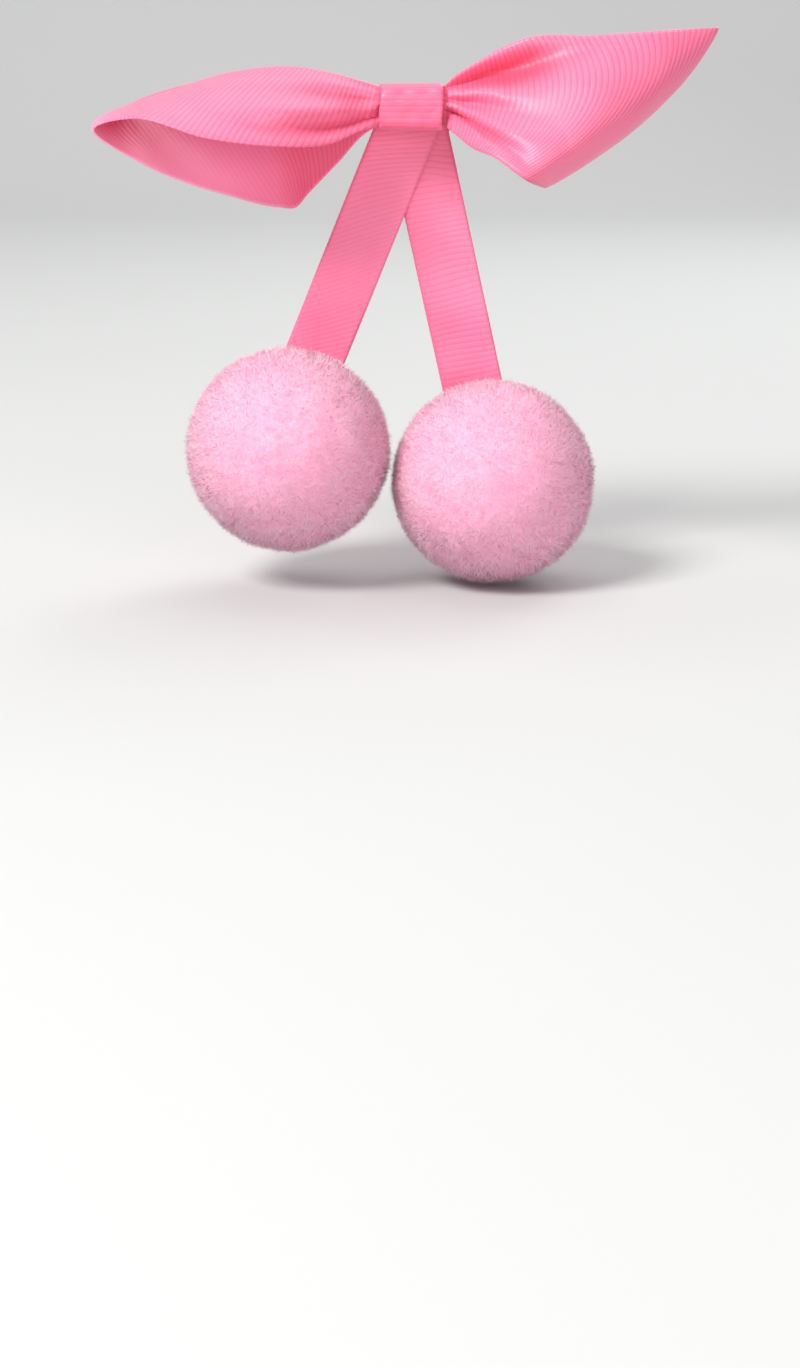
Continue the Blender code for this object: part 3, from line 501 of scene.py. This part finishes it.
def build_bow():
    stations, left_front, right_front = bow_stations()
    left_tip = left_front - 1 - LEFT_TIP_ROW
    count = len(stations) - 1
    coarse = np.linspace(0, count, count * 40 + 1)
    guides = hermite(across_points(stations, np.linspace(0, 1, 11)), coarse)
    steps = np.linalg.norm(np.diff(guides, axis=0), axis=-1)
    length = np.concatenate([[0], np.cumsum(steps[:, :7].mean(1))])
    # the grid's rows follow the ribs, four of them to a rib
    stops, leans = np.array(LEFT_RIB_LEAN).T
    lean = np.interp(left_tip - coarse, stops, leans) * MM
    kernel = np.hanning(61)
    lean = np.convolve(np.pad(lean, 30, mode="edge"), kernel / kernel.sum(), "valid")
    step = RIB_PITCH / 4
    samples = int(length[-1] / step)
    even = np.linspace(0, samples * step, samples + 1)
    v = np.linspace(0, 1, 47)
    points = across_points(stations, v)
    columns, spans = [], []
    for k, place in enumerate(v):
        along_row = length + lean * (place - 0.5)
        spans.append(np.interp(even, along_row, coarse))
        columns.append(hermite(points[:, k:k + 1], spans[-1]))
    grid, spans = np.concatenate(columns, axis=1), np.stack(spans, -1)
    # painted light and shade: +1 paints a glow where light comes through a single layer of the loop, -1 paints shade
    # down in a fold
    painted_glow_and_shade = smoothstep(3.5, 0.0, np.abs(spans - left_tip + 1.0)) * smoothstep(0.1, 0.8, v)[None, :]
    painted_glow_and_shade *= smoothstep(left_tip + 1.0, left_tip - 0.2, spans)
    for folds, part in ((LEFT_FOLDS, (spans > left_front - 5) & (spans <= left_front + 1)),
                        (RIGHT_FOLDS, (spans > right_front - 1) & (spans < right_front + 5))):
        depth = fold_offsets(folds, np.abs(grid[..., 0]), v) * part
        grid[..., 1] += depth
        # painted shade down in the folds
        painted_glow_and_shade -= np.clip(depth / (3.0 * MM), 0, 1)
    flutter = wave_noise(5, 10, 16 * MM)
    loose = smoothstep(9 * MM, 24 * MM, np.abs(grid[..., 0]))
    grid[..., 1] += 0.22 * MM * flutter(grid.reshape(-1, 3)).reshape(grid.shape[:2]) * loose
    along = np.broadcast_to(even[:, None], grid.shape[:2])
    across = (v - 0.5) * BOW_WIDTH
    item = dress(ribbon("bow_ribbon_cloth", grid, along, across), BOW_CLOTH)
    # the painted glow and fold shade, stored on the cloth
    add_attribute(item, "painted_glow_and_shade", np.concatenate([0.5 + painted_glow_and_shade.ravel() / 2] * 2))
    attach(item, "bow")
    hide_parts("bow_ribbon")


# ------------------------------------------------------------------ knot band

LAP_TURN = math.radians(36)


def build_knot_band():
    """Narrow ribbon wrapped once round the gathered bow, with its end lapped over its start at the back."""
    steps = 220
    gone = np.linspace(0, 1, steps + 1) * (2 * math.pi + 2 * LAP_TURN)
    angle = gone - LAP_TURN
    lap = np.clip((gone - (2 * math.pi - 2 * LAP_TURN)) / (2 * LAP_TURN), 0, 1)
    lift = (THICK + GAP) * lap - THICK / 2
    half_depth = KNOT_DEPTH / 2 + lift
    half_height = KNOT_HALF_HEIGHT + lift * (1 - 0.9 * lap)
    depth = half_depth * np.sign(np.cos(angle)) * np.sqrt(np.abs(np.cos(angle)))
    height = half_height * np.sign(np.sin(angle)) * np.sqrt(np.abs(np.sin(angle)))
    path = np.stack([depth, height], -1)
    distance = np.concatenate([[0], np.cumsum(np.linalg.norm(np.diff(path, axis=0), axis=1))])
    total = distance[-1]
    samples = int(total / (RIB_PITCH / 10))
    even = np.linspace(0, total, samples + 1)
    depth, height = np.interp(even, distance, depth), np.interp(even, distance, height)
    kernel = np.hanning(9)[1:-1]
    kernel /= kernel.sum()

    def smoothed(values):
        return np.concatenate([values[:3], np.convolve(values, kernel, "valid"), values[-3:]])
    depth, height = smoothed(depth), smoothed(height)
    x = np.linspace(-NARROW / 2, NARROW / 2, 21)
    front = smoothstep(0.2, 0.9, -depth / (KNOT_DEPTH / 2))[:, None]
    slope = 1 + 0.035 * (x / (NARROW / 2))[None, :] * smoothstep(-1, 1, -depth / (KNOT_DEPTH / 2))[:, None]
    pucker = 0.16 * np.sin(3.1 * x / MM * 0.55 + 0.7)[None, :] * np.cos(height / MM * 0.9)[:, None]
    hump = np.cos(x / (NARROW / 2) * math.pi / 2)[None, :]
    pucker = pucker - 0.14 * hump * np.sin(height / MM * 1.5 + 0.4)[:, None]
    grid = np.empty((len(depth), len(x), 3))
    grid[..., 0] = x[None, :] + 0.12 * MM * np.sin(height / MM * 0.8)[:, None] * front
    grid[..., 1] = KNOT_Y + depth[:, None] + pucker * MM * front
    grid[..., 2] = KNOT_Z + height[:, None] * slope
    along = np.broadcast_to(even[:, None], grid.shape[:2])
    item = dress(ribbon("knot_band_cloth", grid[::-1], along[::-1], x), BAND_CLOTH)
    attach(item, "bow")
    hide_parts("knot_band")


# ------------------------------------------------------------------ tail ribbon

SWING = np.array((0, -4.25, 8.1)) * MM          # the tails swing together about this line along X
SEAM_DROP = 7.4 * MM                            # where the three lengths of tail ribbon meet
TAILS = {
    # side, tangent of the slant, depth, drop of the pom pom's centre, the pom pom's own shift
    "left": (-1, 0.41013, -4.6 * MM, 50.2 * MM, 1.5 * MM),
    "right": (1, 0.22323, -3.9 * MM, 55.6 * MM, 0.0),
}
TAIL_TOP_X = 1.1 * MM                           # of each centre line, at the swing axis
TAIL_END = 4.2 * MM                             # of the ribbon below the pom pom's centre
FOLD_START = 3.6 * MM                           # above the swing axis, where the fold turns inward
FOLD_TOP = 7.0 * MM                             # above the swing axis
FOLD_RADIUS = 0.35 * MM
WOBBLE_SEED = 11
POM_RADIUS = 16.7 * MM


def tail_centre(name, drop):
    side, slant, y = TAILS[name][:3]
    return np.stack([side * (TAIL_TOP_X + slant * drop), np.full_like(drop, y), SWING[2] - drop], -1)


def tail_strip(name, drops):
    """Centre line, level half width and rib skew of one tail at the given drops below the swing axis."""
    side, slant = TAILS[name][:2]
    centre = tail_centre(name, drops)
    loose = smoothstep(2 * MM, 12 * MM, drops) * (1 - smoothstep(26 * MM, 36 * MM, drops))
    centre[:, 1] -= loose * (0.35 * MM + 0.25 * MM * np.sin(drops / MM * 0.22 + (0.5 if side > 0 else 2.1)))
    half = np.full(len(drops), NARROW / 2 * math.hypot(1, slant))
    skew = side * slant / math.hypot(1, slant) * (0.25 + 0.75 * smoothstep(0, 16 * MM, drops))
    return centre, half, skew


def tail_grid(centre, half, skew, start):
    """Grid and distances of a strip whose cross-sections lie level along X."""
    gone = np.concatenate([[0], np.cumsum(np.linalg.norm(np.diff(centre, axis=0), axis=1))]) + start
    across = np.linspace(-1, 1, 21)
    grid = centre[:, None] + np.zeros((1, len(across), 1))
    grid[..., 0] += across * half[:, None]
    wobble = wave_noise(WOBBLE_SEED, 8, 9 * MM)
    away = smoothstep(1.5 * MM, 6 * MM, SWING[2] - centre[:, 2])[:, None]
    grid[..., 1] += (0.10 * MM * (across ** 2)[None, :] - 0.05 * MM) * away
    grid[..., 1] -= 0.08 * MM * wobble(grid.reshape(-1, 3)).reshape(grid.shape[:2]) * away
    ripple = 0.22 * MM * wobble(grid.reshape(-1, 3) * (0.5, 1, 0.8) + 3).reshape(grid.shape[:2])
    along = gone[:, None] + skew[:, None] * across * half[:, None] + ripple
    return grid, along, across * NARROW / 2, gone[-1]


def resample(points, values, step):
    """The points at even distances, and each of the values there."""
    gone = np.concatenate([[0], np.cumsum(np.linalg.norm(np.diff(points, axis=0), axis=1))])
    even = np.linspace(0, gone[-1], max(2, int(round(gone[-1] / step)) + 1))
    made = np.stack([np.interp(even, gone, points[:, k]) for k in range(3)], -1)
    return [made] + [np.interp(even, gone, value) for value in values]


def build_tails():
    step = RIB_PITCH / 8
    drops = np.linspace(SEAM_DROP, -FOLD_START, 80)
    right, right_half, right_skew = tail_strip("right", drops)
    left, left_half, left_skew = tail_strip("left", drops)
    turn = np.linspace(0, math.pi, 13)
    crown = np.stack([np.zeros_like(turn), SWING[1] + FOLD_RADIUS * np.cos(turn),
                      SWING[2] + FOLD_TOP - FOLD_RADIUS + FOLD_RADIUS * np.sin(turn)], -1)
    centre = np.concatenate([right, crown, left[::-1]])
    half = np.concatenate([right_half, np.linspace(right_half[0], left_half[0], 13), left_half[::-1]])
    skew = np.concatenate([right_skew, np.linspace(right_skew[-1], -left_skew[-1], 13), -left_skew[::-1]])
    centre, half, skew = resample(centre, [half, skew], step)
    grid, along, across, upper = tail_grid(centre, half, skew, 0.0)
    item = dress(ribbon("tail_ribbon_fold_cloth", grid, along, across), TAIL_CLOTH)
    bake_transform(item)
    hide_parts("tail_ribbon_fold", "left_tail_ribbon_top", "right_tail_ribbon_top")
    for name in TAILS:
        drops = np.linspace(SEAM_DROP, TAILS[name][3] + TAIL_END, 200)
        centre, half, skew = tail_strip(name, drops)
        centre, half, skew = resample(centre, [half, -skew], step)
        start = upper
        if name == "right":       # the ribbon comes up this side, and its ribs carry on over the fold
            centre, half, skew = centre[::-1], half[::-1], skew[::-1]
            start = -np.linalg.norm(centre[0] - centre[-1])
        grid, along, across, _ = tail_grid(centre, half, skew, start)
        item = dress(ribbon(name + "_tail_ribbon_cloth", grid, along, across), TAIL_CLOTH)
        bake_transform(item)
        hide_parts(name + "_tail_ribbon_end")


# ------------------------------------------------------------------ pom poms

TUFTS = 2600
FIBRE_MESHES = 2
FIBRES = 46000                # in each mesh
STRAY_SHARE = 0.25            # of the fibres, which stand out from the ball


def even_directions(count, rng):
    """Directions spread evenly over a sphere, with a little disorder."""
    index = np.arange(count) + 0.5
    z = 1 - 2 * index / count
    angle = index * math.pi * (1 + math.sqrt(5))
    ring = np.sqrt(1 - z * z)
    made = np.stack([ring * np.cos(angle), ring * np.sin(angle), z], -1)
    return unit(made + rng.normal(scale=0.8 / math.sqrt(count), size=made.shape))


def press_under_ribbon(points, name, depth):
    """Push points that stand through the ribbon behind the pom pom forward, to depth in front of it."""
    side, slant, y = TAILS[name][:3]
    drop = SWING[2] - points[..., 2]
    off = np.abs(points[..., 0] - side * (TAIL_TOP_X + slant * drop)) / math.hypot(1, slant)
    end = TAILS[name][3] + TAIL_END
    share = (1 - smoothstep(NARROW / 2 + 0.1 * MM, NARROW / 2 + 2.2 * MM, off)) * (
        1 - smoothstep(end + 0.1 * MM, end + 2.0 * MM, drop))
    limit = y - THICK / 2 - depth
    pressed = np.minimum(points[..., 1], limit)
    points = points.copy()
    points[..., 1] += (pressed - points[..., 1]) * share
    return points


def build_pom_heart(name, centre, radius_at, fine):
    """The dense heart of the ball, which shows between the fibres."""
    work = bmesh.new()
    bmesh.ops.create_icosphere(work, subdivisions=6, radius=1.0)
    mesh = bpy.data.meshes.new(name + "_pom_heart")
    work.to_mesh(mesh)
    work.free()
    co = np.empty(len(mesh.vertices) * 3, np.float32)
    mesh.vertices.foreach_get("co", co)
    directions = unit(co.reshape(-1, 3).astype(float))
    placed = centre + directions * (radius_at(directions) * (0.970 + 0.003 * fine(directions * 1.7)))[:, None]
    placed = press_under_ribbon(placed, name, 0.9 * MM)
    mesh.vertices.foreach_set("co", placed.astype(np.float32).ravel())
    mesh.polygons.foreach_set("use_smooth", np.full(len(mesh.polygons), True))
    mesh.update()
    heart = bpy.data.objects.new(name + "_pom_heart", mesh)
    bpy.context.scene.collection.objects.link(heart)
    # the heart takes the painted shade of the fibres' roots
    add_attribute(heart, "depth", np.full(len(mesh.vertices), 0.35))
    add_attribute(heart, "shade", 0.5 + 0.15 * fine(directions * 2.1))
    dress(heart, PILE)
    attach(heart, name + "_tail")
    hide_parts(name + "_pom_pom")


def build_pom_fibres(name, centre, radius_at, lumps, rng):
    """Bent fibres from the heart's surface, the ones of a tuft leaning and shaded alike."""
    tufts = even_directions(TUFTS, rng)
    tuft_shade = rng.normal(scale=0.5, size=len(tufts))
    tuft_lean = rng.normal(size=(len(tufts), 3))
    tree = KDTree(len(tufts))
    for index, direction in enumerate(tufts):
        tree.insert(direction, index)
    tree.balance()
    count = FIBRES
    for part in range(FIBRE_MESHES):
        roots = even_directions(count, rng)
        near = np.array([tree.find(direction)[1] for direction in roots])
        reach = radius_at(roots)[:, None]
        level = unit(np.cross(roots, rng.normal(size=(count, 3)) + 0.35 * tuft_lean[near]))
        fallen = np.radians(np.where(rng.uniform(size=count) < STRAY_SHARE, rng.uniform(5, 40, count),
                                     rng.uniform(30, 70, count)))[:, None]
        long = rng.uniform(0.7, 1.6, (count, 1)) * MM
        root = roots * reach * rng.uniform(0.950, 0.978, (count, 1))
        tip = root + long * (np.cos(fallen) * roots + np.sin(fallen) * level)
        tip = unit(tip) * np.minimum(np.linalg.norm(tip, axis=1, keepdims=True),
                                     reach * rng.uniform(1.0, 1.06, (count, 1)))
        knee = (root + tip) / 2 + roots * rng.uniform(0.02, 0.15, (count, 1)) * MM
        knee += unit(rng.normal(size=(count, 3))) * rng.uniform(0.05, 0.25, (count, 1)) * MM
        sides = unit(np.cross(tip - root, rng.normal(size=(count, 3)) + 1.2 * roots))
        facing = np.cross(tip - root, sides)
        sides *= np.sign((facing * roots).sum(1, keepdims=True))
        facing = unit(np.cross(tip - root, sides))
        width = rng.uniform(0.028, 0.052, count)[:, None] * MM / 2
        line = np.stack([root, knee, tip], 1)
        taper = np.array([1.0, 0.9, 0.35])[None, :, None]
        offset = sides[:, None] * width[:, None] * taper
        points = np.stack([line - offset, line + offset], 2)
        normals = unit(unit(points.reshape(-1, 3)) + 0.16 * np.repeat(facing, 6, axis=0))
        points = press_under_ribbon(points + centre, name, rng.uniform(0.25, 0.8, (count, 1, 1)) * MM)
        index = np.arange(count * 6).reshape(count, 3, 2)
        faces = np.concatenate([
            np.stack([index[:, k, 0], index[:, k + 1, 0], index[:, k + 1, 1], index[:, k, 1]], -1) for k in (0, 1)])
        fibres = new_object(f"{name}_pom_fibres_{part + 1}", points.reshape(-1, 3), faces)
        fibres.data.normals_split_custom_set_from_vertices(normals)
        # each point's place from root to tip, for the painted shade at the roots
        add_attribute(fibres, "depth", np.broadcast_to(np.array([0.35, 0.8, 1.0])[None, :, None],
                                                       (count, 3, 2)).ravel())
        shade = 0.48 + 0.08 * tuft_shade[near] + 0.08 * lumps(roots * 1.3) + rng.normal(scale=0.06, size=count)
        add_attribute(fibres, "shade", np.repeat(shade, 6))
        dress(fibres, PILE)
        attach(fibres, name + "_tail")


def build_pom(name, seed):
    side, slant, _, length, shift = TAILS[name]
    centre = np.array((side * (TAIL_TOP_X + slant * length) + shift, low(name + "_pom_pom")[1] + POM_RADIUS,
                       SWING[2] - length))
    lumps = wave_noise(seed + 1, 14, 0.55)
    fine = wave_noise(seed + 2, 18, 0.16)

    def radius_at(directions):
        return POM_RADIUS * (0.988 + 0.005 * lumps(directions) + 0.003 * fine(directions))

    build_pom_heart(name, centre, radius_at, fine)
    build_pom_fibres(name, centre, radius_at, lumps, np.random.default_rng(seed))


# ------------------------------------------------------------------ felt, glue, thread and clip


def copied_solid(node, name, voxel, bumps, seed, scale):
    """Finely remeshed copy of a CAD node's solid, with its surface disturbed by bumps of that height."""
    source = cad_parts[node]
    item = bpy.data.objects.new(name, source.data.copy())
    bpy.context.scene.collection.objects.link(item)
    remesh = item.modifiers.new("Remesh", "REMESH")
    remesh.mode = "VOXEL"
    remesh.voxel_size = voxel
    bpy.context.view_layer.update()
    evaluated = item.evaluated_get(bpy.context.evaluated_depsgraph_get())
    mesh = bpy.data.meshes.new_from_object(evaluated)
    item.modifiers.clear()
    item.data = mesh
    co = np.empty(len(mesh.vertices) * 3, np.float32)
    mesh.vertices.foreach_get("co", co)
    co = co.reshape(-1, 3).astype(float)
    normals = np.array([v.normal for v in mesh.vertices])
    co += normals * (bumps * wave_noise(seed, 24, scale)(co))[:, None]
    mesh.vertices.foreach_set("co", co.astype(np.float32).ravel())
    mesh.polygons.foreach_set("use_smooth", np.full(len(mesh.polygons), True))
    mesh.update()
    return item


def felt_look():
    made = Shader("felt_look", roughness=0.95, specular_ior_level=0.1, sheen_weight=0.5, sheen_roughness=0.5,
                  sheen_tint=(1.0, 0.7, 0.8, 1.0))
    place = made.place()
    fuzz = made.noise(place, 2600, 4.0, 0.65)
    cloud = made.noise(place, 320, 3.0)
    colour = made.mix(made.maths("MULTIPLY_ADD", cloud, 0.8, 0.5, clamp=True), srgb(205, 84, 120), srgb(232, 118, 152))
    colour = made.mix(made.ramp(fuzz, (0.35, (0.7, 0.7, 0.7)), (0.7, (0, 0, 0))), colour, srgb(190, 66, 104))
    return made.finish(colour, made.bump(fuzz, 0.8, 0.12 * MM))


def glue_look():
    made = Shader("hot_glue_look", roughness=0.28, ior=1.48, subsurface_weight=0.6, subsurface_scale=0.0015,
                  subsurface_radius=(1.0, 0.9, 0.8))
    place = made.place()
    colour = made.mix(made.noise(place, 500, 2.0), srgb(226, 214, 204), srgb(242, 236, 228))
    return made.finish(colour, made.bump(made.noise(place, 700, 2.0), 0.3, 0.1 * MM))


def thread_look():
    made = Shader("thread_look", roughness=0.7, sheen_weight=0.3)
    place = made.place()
    twist = made.node("ShaderNodeTexWave", wave_type="BANDS", bands_direction="DIAGONAL", Scale=900.0, Distortion=1.0)
    made.put(twist.inputs["Vector"], place)
    colour = made.mix(twist.outputs["Fac"], srgb(222, 128, 156), srgb(244, 178, 198))
    return made.finish(colour, made.bump(twist.outputs["Fac"], 0.8, 0.08 * MM))


def nickel_look():
    made = Shader("nickel_look", metallic=1.0, roughness=0.24)
    place = made.place()
    scratch = made.noise(made.scaled(place, (0.35, 6.0, 6.0)), 900, 3.0)
    cloud = made.noise(place, 260, 4.0)
    roughness = made.maths("MULTIPLY_ADD", cloud, 0.22, 0.14)
    colour = made.mix(cloud, (0.66, 0.63, 0.60, 1), (0.80, 0.78, 0.75, 1))
    normal = made.bump(scratch, 0.12, 0.02 * MM)
    return made.finish(colour, normal, roughness)


def rubber_look():
    made = Shader("rubber_look", roughness=0.7, specular_ior_level=0.35)
    grain = made.noise(made.place(), 3200, 3.0)
    colour = made.mix(grain, srgb(96, 94, 95), srgb(126, 124, 124))
    return made.finish(colour, made.bump(grain, 0.4, 0.05 * MM))


def build_small_pieces():
    felt = dress(copied_solid("felt_backing", "felt_backing_cloth", 0.28 * MM, 0.05 * MM, 31, 0.9 * MM), felt_look())
    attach(felt, "bow")
    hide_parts("felt_backing")
    glue = glue_look()
    for node, body in (("clip_glue", "bow"), ("knot_glue", "bow"), ("left_pom_glue", "left_tail"),
                       ("right_pom_glue", "right_tail")):
        blob = copied_solid(node, node + "_blob", 0.18 * MM, 0.08 * MM, 41, 2.2 * MM)
        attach(dress(blob, glue), body)
        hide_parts(node)
    nickel, thread = nickel_look(), thread_look()
    for node in ("clip_base_plate", "clip_jaw", "clip_hinge_pin", "clip_spring"):
        dress(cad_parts[node], nickel)
    for node in ("gather_thread", "left_pom_tie", "right_pom_tie"):
        dress(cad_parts[node], thread)
    dress(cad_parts["jaw_pad"], rubber_look())


build_bow()
build_knot_band()
build_tails()
build_pom("left", 101)
build_pom("right", 202)
build_small_pieces()

# ------------------------------------------------------------------ camera, stage and lights

camera = bpy.data.objects.new("camera", bpy.data.cameras.new("camera"))
bpy.context.scene.collection.objects.link(camera)
camera.location = (-0.0018, -0.4608, 0.0363)
camera.rotation_euler = (math.radians(90 - 14.9), 0, 0)
camera.data.lens = 72
camera.data.sensor_width = 36
camera.data.clip_start = 0.01
bpy.context.scene.camera = camera


def area_light(name, place, aim, side, power, colour=(1, 1, 1)):
    lamp = bpy.data.lights.new(name, "AREA")
    lamp.shape = "SQUARE"
    lamp.size = side
    lamp.energy = power
    lamp.color = colour
    item = bpy.data.objects.new(name, lamp)
    bpy.context.scene.collection.objects.link(item)
    item.location = place
    item.rotation_euler = (Vector(aim) - Vector(place)).to_track_quat("-Z", "Y").to_euler()


def build_stage():
    """Pale floor that curves up into a wall behind the object."""
    floor = CAD_BOX[0][2] - 0.5 * MM
    reach, wall, bend = 5.0, 1.0, 0.35
    profile = [(-reach, floor), (-0.4, floor), (wall - bend, floor)]
    profile += [(wall - bend + bend * math.sin(a), floor + bend * (1 - math.cos(a)))
                for a in np.linspace(0.1, math.pi / 2, 16)]
    profile += [(wall, 1.6)]
    rows = [[(x, y, z) for x in (-reach, reach)] for y, z in profile]
    index = np.arange(len(rows) * 2).reshape(-1, 2)
    faces = np.stack([index[:-1, 0], index[:-1, 1], index[1:, 1], index[1:, 0]], -1)
    sweep = new_object("studio_sweep", np.array(rows).reshape(-1, 3), faces)
    made = Shader("studio_sweep_look", roughness=0.9, base_color=(0.58, 0.59, 0.585, 1))
    dress(sweep, made.finish())


build_stage()
area_light("key", (-0.42, -0.46, 0.54), (0, 0, -0.01), 0.30, 7.6, (1.0, 0.99, 0.97))
area_light("fill", (0.28, -0.72, 0.0), (0, 0, -0.02), 0.5, 3.0, (1.0, 0.98, 1.0))
area_light("backdrop", (0.0, 0.45, 1.0), (0, 0.75, 0.0), 0.9, 4.4)
area_light("rear", (0.30, 0.45, 0.35), (0, 0, -0.01), 0.3, 1.2)
world = bpy.data.worlds.new("studio")
bpy.context.scene.world = world
world.use_nodes = True
background = world.node_tree.nodes["Background"]
background.inputs["Color"].default_value = (1.0, 0.99, 1.0, 1)
background.inputs["Strength"].default_value = 0.37
bpy.context.scene.view_settings.view_transform = "Standard"
